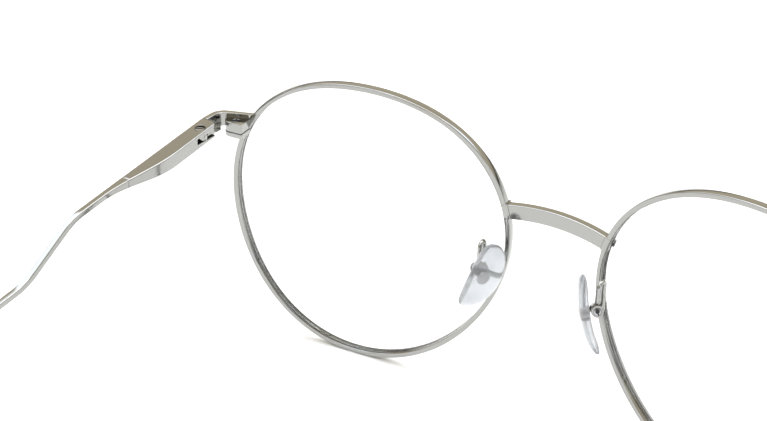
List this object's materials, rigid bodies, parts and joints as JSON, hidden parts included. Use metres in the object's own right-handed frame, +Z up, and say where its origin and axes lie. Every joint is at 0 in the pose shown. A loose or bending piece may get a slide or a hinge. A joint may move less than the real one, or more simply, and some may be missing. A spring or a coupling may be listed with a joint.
{
  "type": "round wire eyeglasses",
  "caption": "Round wire eyeglasses with a flat metal bridge, screw hinges, stepped wire temples that fold, sleeve tips and rocking nose pads.",
  "frame": {"origin": "middle of the opened glasses, at the level that the rims and temple tips rest on", "axes": "+X to the wearer's left, +Y back along the open temples, +Z up"},
  "size_m": [0.123, 0.1502, 0.0504],
  "materials": {
    "polished_metal": "polished",
    "screw_steel": "polished",
    "insert_metal": "satin",
    "clear_lens": "polished",
    "pad_silicone": "gloss",
    "sleeve_plastic": "gloss"
  },
  "bodies": {
    "front": {"bridge": "polished_metal", "left_rim": "polished_metal", "left_lens": "clear_lens", "left_end_piece": "polished_metal", "left_hinge_tongue": "polished_metal", "left_lock_upper": "polished_metal", "left_lock_lower": "polished_metal", "left_lock_screw": "screw_steel", "left_pad_arm": "polished_metal", "left_pad_box": "polished_metal", "left_pad_screw": "screw_steel", "right_rim": "polished_metal", "right_lens": "clear_lens", "right_end_piece": "polished_metal", "right_hinge_tongue": "polished_metal", "right_lock_upper": "polished_metal", "right_lock_lower": "polished_metal", "right_lock_screw": "screw_steel", "right_pad_arm": "polished_metal", "right_pad_box": "polished_metal", "right_pad_screw": "screw_steel"},
    "left_temple": {"left_hinge_screw": "screw_steel", "left_temple_front": "polished_metal", "left_temple_wire": "polished_metal", "left_temple_tip": "sleeve_plastic"},
    "right_temple": {"right_hinge_screw": "screw_steel", "right_temple_front": "polished_metal", "right_temple_wire": "polished_metal", "right_temple_tip": "sleeve_plastic"},
    "left_pad": {"left_nose_pad": "pad_silicone", "left_pad_insert": "insert_metal"},
    "right_pad": {"right_nose_pad": "pad_silicone", "right_pad_insert": "insert_metal"}
  },
  "joints": [
    {"name": "left_temple_fold", "type": "hinge", "parent": "front", "child": "left_temple", "pos_m": [0.05828, -0.0592, 0.03898], "axis": [0, 0, 1], "range_deg": [0, 90]},
    {"name": "right_temple_fold", "type": "hinge", "parent": "front", "child": "right_temple", "pos_m": [-0.05828, -0.0592, 0.03898], "axis": [0, 0, -1], "range_deg": [0, 86]},
    {"name": "left_pad_rock", "type": "hinge", "parent": "front", "child": "left_pad", "pos_m": [0.01032, -0.06833, 0.02615], "axis": [0.5661, 0.7845, 0.2532], "range_deg": [-8, 8]},
    {"name": "right_pad_rock", "type": "hinge", "parent": "front", "child": "right_pad", "pos_m": [-0.01032, -0.06833, 0.02615], "axis": [-0.5661, 0.7845, 0.2532], "range_deg": [-8, 8]}
  ]
}
